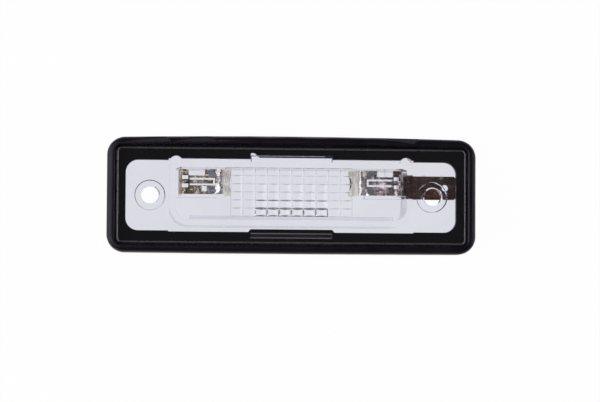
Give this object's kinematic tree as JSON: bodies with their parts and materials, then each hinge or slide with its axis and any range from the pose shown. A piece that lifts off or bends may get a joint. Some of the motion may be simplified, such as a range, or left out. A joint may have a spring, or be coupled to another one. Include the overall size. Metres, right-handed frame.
{
  "type": "number plate lamp",
  "caption": "Rectangular clear lens with screw holes and an open-backed lamp chamber, in a black rubber gasket, with riveted spring contacts for a tubular bulb and push-on terminals.",
  "frame": {"origin": "midway between the two screw holes, in the body panel's plane, which is the rear face of the gasket's flange", "axes": "+X along the lamp's length towards the sideways terminal, +Y towards the long side that the bulb is nearer, +Z out through the front of the lens"},
  "size_m": [0.0976, 0.031, 0.0187],
  "materials": {
    "gasket_rubber": "smooth moulded EPDM with a soft sheen",
    "clear_plastic": "clear moulded acrylic, polished",
    "bronze_strip": "dull tarnished strip",
    "brass_strip": "dull brass strip",
    "tinned_spring": "tinned, satin",
    "rivet_metal": "satin"
  },
  "bodies": {
    "root": {"gasket": "gasket_rubber", "lens": "clear_plastic", "feed_terminal": "bronze_strip", "earth_terminal": "brass_strip", "spring_left": "tinned_spring", "spring_right": "tinned_spring", "contact_rivets": "rivet_metal"}
  },
  "joints": []
}
